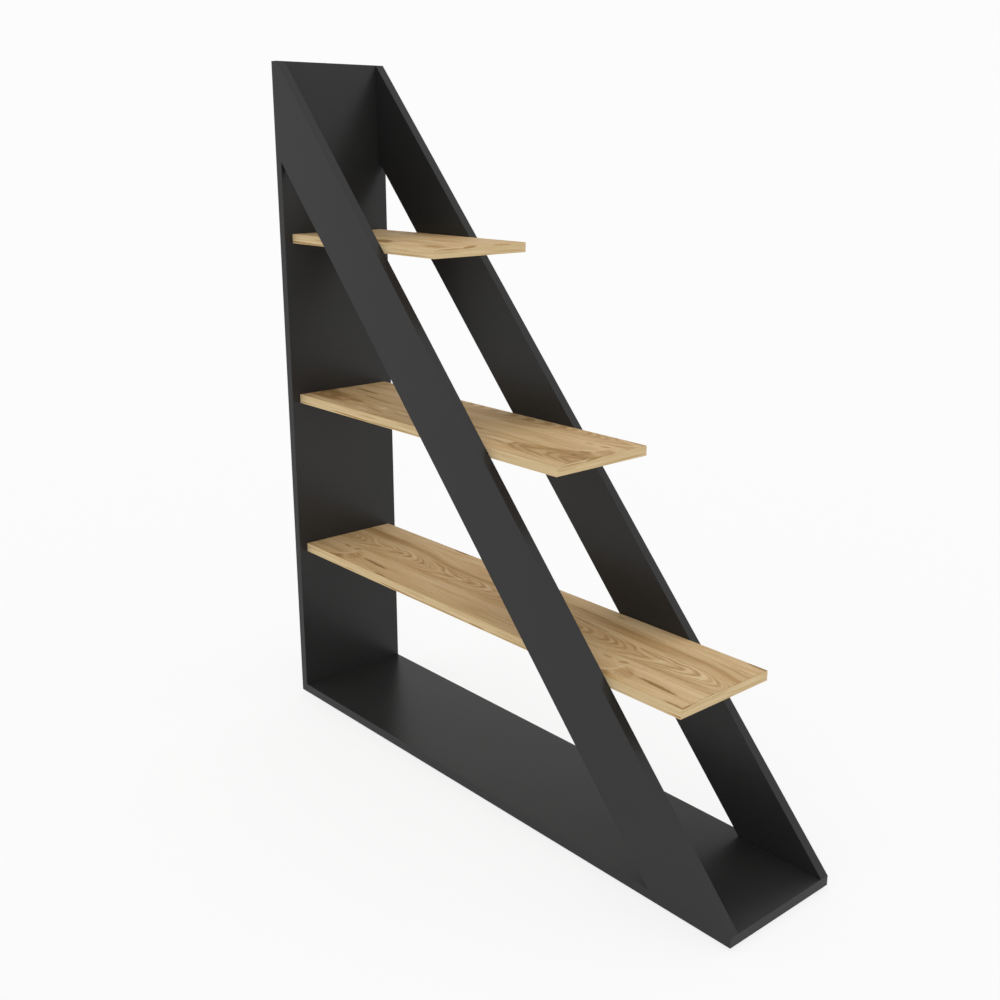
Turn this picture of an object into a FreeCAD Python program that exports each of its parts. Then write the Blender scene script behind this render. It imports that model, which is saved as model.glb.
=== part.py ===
import FreeCAD, Part
import math
import os

# A corner bookcase, in millimetres, seen from the front as a right-angled triangle.
# X runs from the upright's outer face to the tip of the base, Y from front to back, Z up.
# It is drawn from the front lower corner of the upright, and each piece is moved at the end
# so that the origin lies on the floor under the middle of the whole.

# Sizes of the case, without the glides that it stands on
case_length = 1200.0
case_depth = 250.0
case_height = 1318.0
board = 18.0                    # thickness of every board
band = 0.8                      # thickness of the strip glued to every visible edge
diagonal_width = 125.0          # across a diagonal board, square to its sloping edges
bay_count = 4                   # equal bays from the base to the top of the upright
top_shelf_overhang = 161.0      # how far each shelf sticks out past the diagonals' sloping edge
middle_shelf_overhang = 179.0
lower_shelf_overhang = 163.5

# Glides nailed under the case
glide_height = 4.0
glide_radius = 8.0
glide_chamfer = 1.0
glide_edge_inset = 25.0         # from the front and rear edges to a glide's centre
glide_tip_inset = 40.0          # from the tip of the base to a glide's centre
nail_length = 17.0
nail_radius = 1.0
nail_head_radius = 2.6
nail_head_height = 0.9
nail_head_sink = 1.2            # keeps the nail's head clear of the floor
nail_point = 2.5

# One-piece connecting screw with a flat countersunk head and a hexagon socket
screw_length = 50.0
screw_head_radius = 5.0
screw_rim = 1.0
screw_neck_radius = 3.4
screw_neck_length = 13.0
screw_thread_radius = 3.2
screw_core_radius = 2.3
screw_pitch = 3.0
screw_point = 4.0
socket_across_flats = 4.0
socket_depth = 3.4
screw_end_room = 2.0            # the hole is this much deeper than the screw

# Cap that covers a screw's head, flush with the board
cap_radius = 6.0
cap_thickness = 1.2
cap_peg_radius = 1.8
cap_peg_length = 2.6

# Wooden dowel
dowel_length = 35.0
dowel_radius = 4.0
dowel_chamfer = 1.0
dowel_face_depth = 12.0         # how deep it sits in the face of a board
dowel_end_room = 1.0

# Cam lock in the underside of a shelf, and the bolt that it pulls
cam_radius = 7.4
cam_setback = 34.0              # from the joint to the middle of the cam
cam_pocket_radius = 4.0
cam_roof = 0.6
cam_cross_length = 9.0
cam_cross_width = 1.3
cam_cross_depth = 2.6
cam_slot_turn = 120.0           # degrees that the cam can turn round the bolt's neck
bolt_thread_radius = 3.1
bolt_core_radius = 2.4
bolt_thread_length = 11.0
bolt_pitch = 2.75
bolt_shank_radius = 3.0
bolt_neck_radius = 1.8
bolt_head_radius = 3.2
bolt_head_length = 3.2

# Where the fasteners sit
fastener_margin = 15.0          # least distance from a fastener to the edge of a board
base_screw_inset = 40.0         # from the front and rear edges to the outer base screws
end_dowel_inset = 25.0          # from a shelf's front and rear edges to its end dowels
end_cam_inset = 58.0            # from a shelf's front and rear edges to its end cams
side_dowel_spacing = 52.0       # from a side cam to the dowel on each side of it

# Clearances
drive_fit = 0.05                # round a dowel or a nail
turn_fit = 0.1                  # round a screw, a cap, a bolt or a cam
cut_overrun = 5.0               # how far a cutting shape runs out of the wood

# Levels and distances that follow from the sizes above
underside = glide_height
base_top = underside + board
case_top = underside + case_height
case_rise = case_top - base_top
case_run = case_length - board
slope_length = math.hypot(case_rise, case_run)
slope = case_rise / case_run
front_plane = board             # inner face of the front diagonal
rear_plane = case_depth - board
bay_pitch = case_rise / bay_count
right = FreeCAD.Vector(1, 0, 0)
back = FreeCAD.Vector(0, 1, 0)
up = FreeCAD.Vector(0, 0, 1)
to_origin = FreeCAD.Vector(-case_length / 2, -case_depth / 2, 0)

pieces = {}


def block(low, high):
    """A box from its lowest to its highest corner."""
    size = [h - l for l, h in zip(low, high)]
    return Part.makeBox(*size, FreeCAD.Vector(*low))


def turned(outline, start, direction):
    """A round piece: (distance along the axis, radius) points, spun about the axis."""
    points = [FreeCAD.Vector(radius, 0, along) for along, radius in outline]
    closing = [FreeCAD.Vector(0, 0, outline[-1][0]), FreeCAD.Vector(0, 0, outline[0][0])]
    loop = []
    for point in points + closing + points[:1]:
        if not loop or (point - loop[-1]).Length > 0:
            loop.append(point)
    solid = Part.Face(Part.makePolygon(loop)).revolve(FreeCAD.Vector(), up, 360)
    solid.Placement = FreeCAD.Placement(start, FreeCAD.Rotation(up, direction))
    return solid


def threaded(start, end, core, crest, pitch):
    """Outline of a thread as one ridge to each turn, from start to end."""
    turns = int((end - start) / pitch)
    outline = []
    for turn in range(turns):
        foot = start + turn * pitch
        outline += [(foot, core), (foot + pitch / 2, crest)]
    return outline + [(start + turns * pitch, core)]


def group(name, solids):
    """A node of several alike solids that stay apart."""
    pieces[name] = Part.makeCompound(solids)


def drill(names, tool):
    """Cuts one hole out of every named board or band that it passes through."""
    for name in names:
        pieces[name] = pieces[name].cut(tool)


# Levels on the slope


def sloping_edge_x(z):
    """Where the diagonals' upper edge is, at a height."""
    return board + (case_top - z) / slope


def slope_strip(near, far, front, rear):
    """The part of a diagonal between two lines that lie near and far below its upper edge."""
    corners = []
    for offset in (near, far):
        drop = offset * slope_length / case_run
        shift = offset * slope_length / case_rise
        ends = [(board, case_top - drop), (case_length - shift, base_top)]
        corners += ends if offset == near else ends[::-1]
    points = [FreeCAD.Vector(x, front, z) for x, z in corners]
    face = Part.Face(Part.makePolygon(points + points[:1]))
    return face.extrude(back * (rear - front))


# Boards and edge bands


def make_upright():
    """The panel that carries everything on the left, with bands at front, rear and top."""
    inner_front = band
    inner_rear = case_depth - band
    inner_top = case_top - band
    pieces["upright_panel"] = block((0, inner_front, underside), (board, inner_rear, inner_top))
    pieces["upright_front_band"] = block((0, 0, underside), (board, inner_front, case_top))
    pieces["upright_rear_band"] = block((0, inner_rear, underside), (board, case_depth, case_top))
    pieces["upright_top_band"] = block((0, inner_front, inner_top), (board, inner_rear, case_top))


def make_lying_board(name, length, front, rear, top):
    """A level board that starts at the upright, with bands at front, rear and right end."""
    end = board + length
    low, inner_end = top - board, end - band
    inner_front, inner_rear = front + band, rear - band
    pieces[f"{name}_front_band"] = block((board, front, low), (end, inner_front, top))
    pieces[f"{name}_rear_band"] = block((board, inner_rear, low), (end, rear, top))
    pieces[f"{name}_end_band"] = block((inner_end, inner_front, low), (end, inner_rear, top))
    return block((board, inner_front, low), (inner_end, inner_rear, top))


def make_diagonal(name, front, rear):
    """A sloping board, cut upright against the panel and level on the base."""
    inner_edge = diagonal_width - band
    pieces[name] = slope_strip(band, inner_edge, front, rear)
    pieces[f"{name}_upper_band"] = slope_strip(0, band, front, rear)
    pieces[f"{name}_lower_band"] = slope_strip(inner_edge, diagonal_width, front, rear)


# Connecting screws and their caps


def screw_outline():
    """The screw's head, neck, thread and point, from the flat of its head."""
    cone_end = screw_rim + screw_head_radius - screw_neck_radius
    thread_end = screw_length - screw_point
    head = [(0, screw_head_radius), (screw_rim, screw_head_radius)]
    neck = [(cone_end, screw_neck_radius), (screw_neck_length, screw_neck_radius)]
    thread = threaded(screw_neck_length, thread_end, screw_core_radius, screw_thread_radius, screw_pitch)
    return head + neck + thread + [(thread_end, screw_core_radius), (screw_length, 0)]


def screw_hole_outline(sink):
    """The hole for the screw, with room for a cap where the head is sunk."""
    head_radius = screw_head_radius + turn_fit
    neck_radius = screw_neck_radius + turn_fit
    thread_radius = screw_thread_radius + turn_fit
    mouth_radius = cap_radius + turn_fit if sink else head_radius
    rim_end = sink + screw_rim
    cone_end = rim_end + head_radius - neck_radius
    neck_end = sink + screw_neck_length
    bottom = sink + screw_length + screw_end_room
    mouth = [(-cut_overrun, mouth_radius), (sink, mouth_radius), (sink, head_radius)]
    seat = [(rim_end, head_radius), (cone_end, neck_radius), (neck_end, neck_radius)]
    return mouth + seat + [(neck_end, thread_radius), (bottom, thread_radius)]


def hexagon_socket(start, direction):
    """The hole for the hexagon key in a screw's head."""
    corner = socket_across_flats / math.sqrt(3)
    turns = [math.radians(60 * side) for side in range(7)]
    points = [FreeCAD.Vector(corner * math.cos(a), corner * math.sin(a), 0) for a in turns]
    socket = Part.Face(Part.makePolygon(points)).extrude(up * socket_depth)
    socket.Placement = FreeCAD.Placement(start, FreeCAD.Rotation(up, direction))
    return socket


def make_screw(start, direction, sink, boards):
    """A screw driven from a point on a board's face, and its hole through the boards."""
    drill(boards, turned(screw_hole_outline(sink), start, direction))
    head = start + direction * sink
    return turned(screw_outline(), head, direction).cut(hexagon_socket(head, direction))


def make_cap(start, direction):
    """A flush cap whose peg sits in the screw's socket."""
    peg_end = cap_thickness + cap_peg_length
    disc = [(0, cap_radius), (cap_thickness, cap_radius)]
    peg = [(cap_thickness, cap_peg_radius), (peg_end, cap_peg_radius)]
    return turned(disc + peg, start, direction)


# Dowels


def make_dowel(joint, direction, boards):
    """A dowel set deeper into the board ahead of the joint than into the face behind it."""
    hole_start = joint - direction * dowel_face_depth
    hole_length = dowel_length + dowel_end_room
    hole_radius = dowel_radius + drive_fit
    drill(boards, Part.makeCylinder(hole_radius, hole_length, hole_start, direction))
    narrow = dowel_radius - dowel_chamfer
    outline = [(0, narrow), (dowel_chamfer, dowel_radius)]
    outline += [(dowel_length - dowel_chamfer, dowel_radius), (dowel_length, narrow)]
    return turned(outline, hole_start + direction * (dowel_end_room / 2), direction)


# Cam locks and their bolts


def make_cam(joint, direction, boards):
    """A cam in the underside of a shelf, turned so that it holds the bolt's head."""
    centre = joint + direction * cam_setback
    height = board / 2 + cam_pocket_radius + cam_roof
    bottom = centre - up * (board / 2)
    hole_height = height + cut_overrun + turn_fit
    hole = Part.makeCylinder(cam_radius + turn_fit, hole_height, bottom - up * cut_overrun)
    drill(boards, hole)
    cam = Part.makeCylinder(cam_radius, height, bottom)
    cam = cam.cut(Part.makeSphere(cam_pocket_radius, centre))
    # the slot that lets the cam turn round the bolt's neck, and the mouth that the head enters
    slot_half = bolt_neck_radius + turn_fit
    reach = cam_radius + cut_overrun
    facing = math.degrees(math.atan2(-direction.y, -direction.x))
    lead = math.degrees(math.asin(slot_half / cam_pocket_radius))
    slot = Part.makeCylinder(reach, 2 * slot_half, centre - up * slot_half, up, cam_slot_turn)
    slot.rotate(centre, up, facing - lead)
    mouth_turn = math.radians(facing - lead + cam_slot_turn)
    mouth_way = FreeCAD.Vector(math.cos(mouth_turn), math.sin(mouth_turn), 0)
    mouth = Part.makeCylinder(bolt_head_radius + turn_fit, reach, centre, mouth_way)
    cam = cam.cut(slot).cut(mouth)
    # the cross for the screwdriver
    half_length, half_width = cam_cross_length / 2, cam_cross_width / 2
    for across, along in ((half_length, half_width), (half_width, half_length)):
        low = (bottom.x - across, bottom.y - along, bottom.z - cut_overrun)
        high = (bottom.x + across, bottom.y + along, bottom.z + cam_cross_depth)
        cam = cam.cut(block(low, high))
    return cam


def make_bolt(joint, direction, boards):
    """The bolt that a cam pulls: threaded into the face behind the joint."""
    thread_start = -bolt_thread_length
    thread = threaded(thread_start, 0, bolt_core_radius, bolt_thread_radius, bolt_pitch)
    head_start = cam_setback - bolt_head_length / 2
    shank_end = cam_setback - cam_radius - bolt_neck_radius
    shank = [(0, bolt_shank_radius), (shank_end, bolt_shank_radius)]
    neck = [(shank_end, bolt_neck_radius), (head_start, bolt_neck_radius)]
    head = [(head_start, bolt_head_radius), (head_start + bolt_head_length, bolt_head_radius)]
    hole_radius = bolt_thread_radius + turn_fit
    hole_start = joint - direction * (bolt_thread_length + turn_fit)
    hole_length = bolt_thread_length + turn_fit + cam_setback
    drill(boards, Part.makeCylinder(hole_radius, hole_length, hole_start, direction))
    return turned(thread + shank + neck + head, joint, direction)


# Glides and their nails


def make_glide(x, y, boards):
    """A round glide under the case, and the nail that holds it."""
    centre = FreeCAD.Vector(x, y, 0)
    foot = [(0, glide_radius - glide_chamfer), (glide_chamfer, glide_radius)]
    glide = turned(foot + [(glide_height, glide_radius)], centre, up)
    shank_start = nail_head_sink + nail_head_height
    point_start = nail_head_sink + nail_length - nail_point
    nail_end = nail_head_sink + nail_length
    head_space = [(-cut_overrun, nail_head_radius + turn_fit), (shank_start, nail_head_radius + turn_fit)]
    shank_space = [(shank_start, nail_radius + drive_fit), (nail_end + turn_fit, nail_radius + drive_fit)]
    hole = turned(head_space + shank_space, centre, up)
    drill(boards, hole)
    head = [(nail_head_sink, nail_head_radius), (shank_start, nail_head_radius)]
    shank = [(shank_start, nail_radius), (point_start, nail_radius), (nail_end, 0)]
    return glide.cut(hole), turned(head + shank, centre, up)


# Joints between the boards


def stations(low, high):
    """Both ends and the middle of a stretch: screws go at the ends, a dowel between them."""
    return low, (low + high) / 2, high


def join_base():
    """Screws and dowels from the upright's outer face into the end of the base."""
    boards = ["upright_panel", "base_panel"]
    level = underside + board / 2
    rows = stations(base_screw_inset, case_depth - base_screw_inset)
    screws = []
    for y in rows:
        screws.append(make_screw(FreeCAD.Vector(0, y, level), right, cap_thickness, boards))
    dowels = []
    for y in ((rows[0] + rows[1]) / 2, (rows[1] + rows[2]) / 2):
        dowels.append(make_dowel(FreeCAD.Vector(board, y, level), right, boards))
    group("base_screws", screws)
    group("base_dowels", dowels)
    return [FreeCAD.Vector(0, y, level) for y in rows]


def join_diagonal(name, y):
    """Screws and a dowel at each end of a diagonal, clear of its sloping edges."""
    deepest = max(screw_length + cap_thickness - board, dowel_length - dowel_face_depth)
    deepest += screw_end_room
    drop = diagonal_width * slope_length / case_run
    shift = diagonal_width * slope_length / case_rise
    high = case_top - deepest * slope - fastener_margin
    heights = stations(case_top - drop + fastener_margin, high)
    far = case_length - deepest / slope - fastener_margin
    places = stations(case_length - shift + fastener_margin, far)

    boards = ["upright_panel", name]
    heads = [FreeCAD.Vector(0, y, z) for z in heights[::2]]
    top_screws = [make_screw(head, right, cap_thickness, boards) for head in heads]
    dowels = [make_dowel(FreeCAD.Vector(board, y, heights[1]), right, boards)]

    boards = ["base_panel", name]
    foot_screws = []
    for x in places[::2]:
        foot_screws.append(make_screw(FreeCAD.Vector(x, y, underside), up, 0, boards))
    dowels.append(make_dowel(FreeCAD.Vector(places[1], y, base_top), up, boards))

    group(f"{name}_top_screws", top_screws)
    group(f"{name}_foot_screws", foot_screws)
    group(f"{name}_dowels", dowels)
    return heads


def join_shelf(name, top):
    """Cams and dowels that hold a shelf to the upright and to both diagonals."""
    level = top - board / 2
    cams, bolts, dowels = [], [], []

    boards = ["upright_panel", name]
    for y in (front_plane + end_cam_inset, rear_plane - end_cam_inset):
        joint = FreeCAD.Vector(board, y, level)
        cams.append(make_cam(joint, right, boards[1:]))
        bolts.append(make_bolt(joint, right, boards))
    for y in (front_plane + end_dowel_inset, rear_plane - end_dowel_inset):
        dowels.append(make_dowel(FreeCAD.Vector(board, y, level), right, boards))

    shift = diagonal_width * slope_length / case_rise
    middle = sloping_edge_x(level) - shift / 2
    sides = (
        (front_plane, back, ["front_diagonal", f"{name}_front_band", name]),
        (rear_plane, -back, ["rear_diagonal", f"{name}_rear_band", name]),
    )
    for plane, inwards, boards in sides:
        joint = FreeCAD.Vector(middle, plane, level)
        cams.append(make_cam(joint, inwards, boards[2:]))
        bolts.append(make_bolt(joint, inwards, boards))
        for x in (middle - side_dowel_spacing, middle + side_dowel_spacing):
            dowels.append(make_dowel(FreeCAD.Vector(x, plane, level), inwards, boards))

    group(f"{name}_cams", cams)
    group(f"{name}_cam_bolts", bolts)
    group(f"{name}_dowels", dowels)


def stand_on_glides():
    """Two glides under the upright and four under the base."""
    rows = (glide_edge_inset, case_depth - glide_edge_inset)
    places = stations(board / 2, case_length - glide_tip_inset)
    glides, nails = [], []
    for x in places:
        boards = ["upright_panel"] if x < board else ["base_panel"]
        for y in rows:
            glide, nail = make_glide(x, y, boards)
            glides.append(glide)
            nails.append(nail)
    group("floor_glides", glides)
    group("glide_nails", nails)


# The whole bookcase

make_upright()
pieces["base_panel"] = make_lying_board("base", case_run, 0, case_depth, base_top)
make_diagonal("front_diagonal", 0, front_plane)
make_diagonal("rear_diagonal", rear_plane, case_depth)

overhangs = {
    "lower_shelf": lower_shelf_overhang,
    "middle_shelf": middle_shelf_overhang,
    "top_shelf": top_shelf_overhang,
}
for place, (shelf, overhang) in enumerate(overhangs.items(), start=1):
    shelf_top = base_top + place * bay_pitch
    shelf_length = sloping_edge_x(shelf_top) + overhang - board
    pieces[shelf] = make_lying_board(shelf, shelf_length, front_plane, rear_plane, shelf_top)
    join_shelf(shelf, shelf_top)
    print(f"{shelf}: {shelf_length:.1f} mm long, its top {shelf_top:.1f} mm above the floor")

capped = join_base()
capped += join_diagonal("front_diagonal", front_plane / 2)
capped += join_diagonal("rear_diagonal", (rear_plane + case_depth) / 2)
group("upright_screw_caps", [make_cap(head, right) for head in capped])
stand_on_glides()

os.makedirs("parts", exist_ok=True)
for name, shape in pieces.items():
    shape.translate(to_origin)
    assert shape.isValid(), name
    shape.exportStep(f"parts/{name}.step")
print(f"{len(pieces)} nodes, {sum(len(shape.Solids) for shape in pieces.values())} solids")
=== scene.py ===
# %% [markdown]
# A corner bookcase, finished in Blender
#
# The bookcase is made of melamine-faced boards: a black upright and base, two black boards that slope from
# the upright's top to the base's tip, and three oak-look shelves between them. Its construction comes
# from a CAD model, which says where every board, band, screw and cap is. This lesson gives each of them
# its finish, and makes anew the small fittings whose moulded shapes a maker would notice.
# Lengths are metres, as Blender counts them, unless a name ends in _mm.

# %% Load the frame that everything is built around
import math

import bmesh
import bpy
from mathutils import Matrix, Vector


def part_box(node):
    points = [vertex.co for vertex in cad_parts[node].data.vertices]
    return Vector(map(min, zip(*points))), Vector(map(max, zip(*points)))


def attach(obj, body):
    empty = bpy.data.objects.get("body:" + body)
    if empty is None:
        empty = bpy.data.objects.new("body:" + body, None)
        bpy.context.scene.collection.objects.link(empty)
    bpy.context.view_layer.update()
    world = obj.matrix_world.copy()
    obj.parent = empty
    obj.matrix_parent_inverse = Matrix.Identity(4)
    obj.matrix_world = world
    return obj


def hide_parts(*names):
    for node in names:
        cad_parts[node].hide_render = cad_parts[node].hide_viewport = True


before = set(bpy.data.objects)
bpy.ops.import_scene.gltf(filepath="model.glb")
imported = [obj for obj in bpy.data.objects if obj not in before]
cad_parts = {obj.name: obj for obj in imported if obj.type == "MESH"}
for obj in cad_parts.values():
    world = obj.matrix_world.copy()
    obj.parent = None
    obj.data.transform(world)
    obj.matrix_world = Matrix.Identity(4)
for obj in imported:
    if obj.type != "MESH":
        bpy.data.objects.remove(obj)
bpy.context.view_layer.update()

mm = 0.001
print("the frame holds", len(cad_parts), "pieces")

# %% [markdown]
# The camera. The picture to match was taken from the front right, a little under the height of the top.
# Its place, its turn and its lens were worked out from the straight edges of the boards, so the
# render can be laid over the picture. The film is square, and nothing is shifted or out of focus.

# %% Camera
camera_place = Vector((1.54706, -1.40856, 1.17235))
camera_tilt = math.radians(73.504)       # from straight down
camera_heading = math.radians(49.013)    # from looking along +Y, towards -X
camera_lens_mm = 43.475
film_width_mm = 36.0

camera_data = bpy.data.cameras.new("camera")
camera_data.sensor_width = film_width_mm
camera_data.lens = camera_lens_mm
camera = bpy.data.objects.new("camera", camera_data)
camera.location = camera_place
camera.rotation_euler = (camera_tilt, 0.0, camera_heading)
bpy.context.scene.collection.objects.link(camera)
bpy.context.scene.camera = camera
field_of_view = math.degrees(2 * math.atan(film_width_mm / camera_lens_mm / 2))
print(f"the lens takes in {field_of_view:.1f} degrees")

# %% [markdown]
# A small language for materials. A material is a tree of nodes, and drawing a tree by hand is slow to
# read back. Here a Wire stands for one number that changes over a surface, and Python's own + - * /
# between wires add the Math nodes. A Paint is one material's tree, with a single method, add, for every
# other kind of node: its settings go in first, and then the values or wires of its sockets.

# %% Wires and paints
class Wire:
    """One output of a node, which can be reckoned with like a number."""

    def __init__(self, paint, socket):
        self.paint = paint
        self.socket = socket

    def __add__(self, other):
        return self.paint.math("ADD", self, other)

    def __sub__(self, other):
        return self.paint.math("SUBTRACT", self, other)

    def __mul__(self, other):
        return self.paint.math("MULTIPLY", self, other)

    def __truediv__(self, other):
        return self.paint.math("DIVIDE", self, other)

    def __radd__(self, other):
        return self.paint.math("ADD", other, self)

    def __rsub__(self, other):
        return self.paint.math("SUBTRACT", other, self)

    def __rmul__(self, other):
        return self.paint.math("MULTIPLY", other, self)

    def __rtruediv__(self, other):
        return self.paint.math("DIVIDE", other, self)

    def __neg__(self):
        return self.paint.math("MULTIPLY", self, -1.0)

    def __abs__(self):
        return self.paint.math("ABSOLUTE", self)


class Paint:
    """One material, and the ways to add nodes to it."""

    def __init__(self, name, owner=None):
        self.material = owner or bpy.data.materials.new(name)
        self.material.use_nodes = True
        self.tree = self.material.node_tree
        self.tree.nodes.clear()

    def add(self, kind, settings=None, values=None, out=0):
        """Adds a node and gives back the wire of its output."""
        node = self.tree.nodes.new(kind)
        for name, value in (settings or {}).items():
            if name == "stops":
                self.set_stops(node.color_ramp.elements, value)
            elif name == "curve":
                self.set_curve(node.mapping, value)
            else:
                setattr(node, name, value)
        for name, value in (values or {}).items():
            if isinstance(value, Wire):
                self.tree.links.new(value.socket, node.inputs[name])
            else:
                node.inputs[name].default_value = value
        return Wire(self, node.outputs[out]) if node.outputs else node

    def set_stops(self, elements, stops):
        """A ramp's stops, as pairs of place and colour."""
        while len(elements) < len(stops):
            elements.new(1.0)
        for element, (place, tint) in zip(elements, stops):
            element.position = place
            element.color = opaque(tint)

    def set_curve(self, mapping, points):
        """A curve's points, as pairs of place and height, both from 0 to 1."""
        curve = mapping.curves[0]
        while len(curve.points) < len(points):
            curve.points.new(0.5, 0.5)
        for point, place in zip(curve.points, points):
            point.location = place
        mapping.update()

    def math(self, operation, *terms):
        return self.add("ShaderNodeMath", {"operation": operation}, dict(enumerate(terms)))

    def fade(self, wire, start, end):
        """Goes gently from 0 where the wire is start to 1 where it is end."""
        settings = {"interpolation_type": "SMOOTHSTEP"}
        return self.add("ShaderNodeMapRange", settings, {"Value": wire, "From Min": start, "From Max": end})

    def hump(self, wire, middle, reach):
        """1 where the wire is middle, and down to 0 at reach on either side."""
        return self.fade(abs(wire - middle), reach, 0.0)

    def vector(self, x, y, z):
        return self.add("ShaderNodeCombineXYZ", None, {"X": x, "Y": y, "Z": z})

    def noise(self, where, scale=1.0, detail=2.0, roughness=0.5):
        """Noise from -1 to 1, mostly near 0."""
        values = {"Vector": where, "Scale": scale, "Detail": detail, "Roughness": roughness}
        return self.add("ShaderNodeTexNoise", None, values) * 2.0 - 1.0

    def place(self):
        """Where a point of the surface is, in the object's own metres."""
        return self.add("ShaderNodeTexCoord", out="Object")

    def parts(self, vector):
        """The three numbers of a vector."""
        split = self.add("ShaderNodeSeparateXYZ", None, {"Vector": vector})
        return [Wire(self, output) for output in split.socket.node.outputs]

    def blend(self, share, first, second):
        """A colour between two colours."""
        values = {"Factor": share, "A": first, "B": second}
        node = self.add("ShaderNodeMix", {"data_type": "RGBA"}).socket.node
        colour_sockets = {"Factor": node.inputs[0], "A": node.inputs[6], "B": node.inputs[7]}
        for name, value in values.items():
            if isinstance(value, Wire):
                self.tree.links.new(value.socket, colour_sockets[name])
            else:
                colour_sockets[name].default_value = value
        return Wire(self, node.outputs[2])

    def bump(self, height, depth):
        """Turns a height from 0 to 1 into a normal, for dents that are depth metres deep."""
        return self.add("ShaderNodeBump", None, {"Height": height, "Strength": 1.0, "Distance": depth})

    def finish(self, **sockets):
        """Ends the tree in a Principled surface. Socket names have _ for a space."""
        values = {name.replace("_", " "): value for name, value in sockets.items()}
        surface = self.add("ShaderNodeBsdfPrincipled", None, values)
        self.add("ShaderNodeOutputMaterial", None, {"Surface": surface})
        return self.material


def shade(level):
    """The linear value of a screen level from 0 to 255, by the rule that all screens share."""
    level = level / 255
    return level / 12.92 if level <= 0.04045 else ((level + 0.055) / 1.055) ** 2.4


def colour(red, green, blue):
    """A screen's colour, from 0 to 255 each, as the linear values that a socket takes."""
    return (shade(red), shade(green), shade(blue))


def grey(level):
    """A neutral colour from one linear value."""
    return (level, level, level)


def times(factor, tint):
    """A colour made darker or lighter."""
    return tuple(factor * level for level in tint)


def opaque(tint):
    """A colour with the fourth number that a socket takes, its opacity."""
    return (*tint, 1.0)


print("a screen's middle grey is", round(shade(128), 3), "of white")

# %% [markdown]
# The floor and the light. The picture shows the bookcase in an even white light from all sides, on a
# ground so pale that its shadow is lost. A white world gives that light. The floor is white too, and its
# material mixes in a plain white glow for rays that come from the camera or from a mirror image,
# so that floor and backdrop meet without a horizon while a faint shadow stays under the base.

# %% World and floor
backdrop_level = shade(252)
floor_whiteness = 0.9
glow_share = 0.8
floor_half_width = 60.0

world = bpy.data.worlds.new("white_world")
bpy.context.scene.world = world
world_paint = Paint("world", world)
backdrop_light = {"Color": opaque(grey(backdrop_level)), "Strength": 1.0}
backdrop = world_paint.add("ShaderNodeBackground", None, backdrop_light)
world_paint.add("ShaderNodeOutputWorld", None, {"Surface": backdrop})

floor_paint = Paint("pale_floor")
light_path = floor_paint.add("ShaderNodeLightPath").socket.node.outputs
seen = [Wire(floor_paint, light_path[name]) for name in
        ("Is Camera Ray", "Is Glossy Ray", "Is Transmission Ray")]
seen_share = floor_paint.math("MINIMUM", seen[0] + seen[1] + seen[2], 1.0) * glow_share
glow_level = (backdrop_level - (1 - glow_share) * floor_whiteness * backdrop_level) / glow_share
matt = floor_paint.add("ShaderNodeBsdfDiffuse", None, {"Color": opaque(grey(floor_whiteness))})
white_glow = {"Color": opaque(grey(1.0)), "Strength": glow_level}
glow = floor_paint.add("ShaderNodeEmission", None, white_glow)
floor_surface = floor_paint.add("ShaderNodeMixShader", None, {0: seen_share, 1: matt, 2: glow})
floor_paint.add("ShaderNodeOutputMaterial", None, {"Surface": floor_surface})

floor_mesh = bpy.data.meshes.new("floor")
corner_signs = ((-1, -1), (1, -1), (1, 1), (-1, 1))
corners = [(x * floor_half_width, y * floor_half_width, 0.0) for x, y in corner_signs]
floor_mesh.from_pydata(corners, [], [(0, 1, 2, 3)])
floor_mesh.materials.append(floor_paint.material)
floor = bpy.data.objects.new("floor", floor_mesh)
bpy.context.scene.collection.objects.link(floor)
bpy.context.scene.view_settings.view_transform = "Standard"
print(f"the backdrop's level is {backdrop_level:.3f}, and the floor's glow {glow_level:.3f}")

# %% [markdown]
# Chipboard, the core of every board. The two wide faces of a board carry the decor paper, and what a
# band doesn't cover, such as the wall of a drilled hole, shows pressed wood chips. So a board's
# material asks which way the surface faces. Where it faces along the board's thickness it has the decor,
# and elsewhere it has chips: cells of uneven tan, with finer flecks over them.

# %% Chipboard core
chip_pale = colour(206, 178, 136)
chip_dark = colour(146, 112, 74)
chip_size = 2.6 * mm
chip_roughness = 0.85


def chips(paint, place):
    """The colour of pressed wood chips."""
    cell = {"Vector": place, "Scale": 1 / chip_size, "Randomness": 1.0}
    tone = paint.parts(paint.add("ShaderNodeTexVoronoi", None, cell, out="Color"))[0]
    flecks = paint.noise(place, scale=3 / chip_size, detail=3.0)
    share = paint.math("MINIMUM", paint.math("MAXIMUM", tone * 0.7 + flecks * 0.5 + 0.1, 0.0), 1.0)
    return paint.blend(share, opaque(chip_pale), opaque(chip_dark))


def faces_along(paint, axis):
    """1 on the two wide faces of a board whose thickness lies along axis 0, 1 or 2, and 0 elsewhere."""
    normal = paint.parts(paint.add("ShaderNodeNewGeometry", out="Normal"))
    return paint.fade(abs(normal[axis]), 0.8, 0.95)


print("chips are about", chip_size / mm, "mm across")

# %% [markdown]
# Black melamine. The finish is a neutral black paper under a matt resin with a fine pearl in it. Half of
# what the eye sees on it is the blurred mirror image of the bright room, which is why it reads as dark
# grey in the open and as deep black in a corner. Bare plastic would mirror little where it is seen
# squarely and much at a slant. Pearl mirrors more evenly, as metal flakes do, so the surface is made part
# metal, and has no plastic gloss besides. One fine noise lends it the pearl, a slow noise the
# slight unevenness of resin, and both move its colour by a few parts in a hundred.

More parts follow.
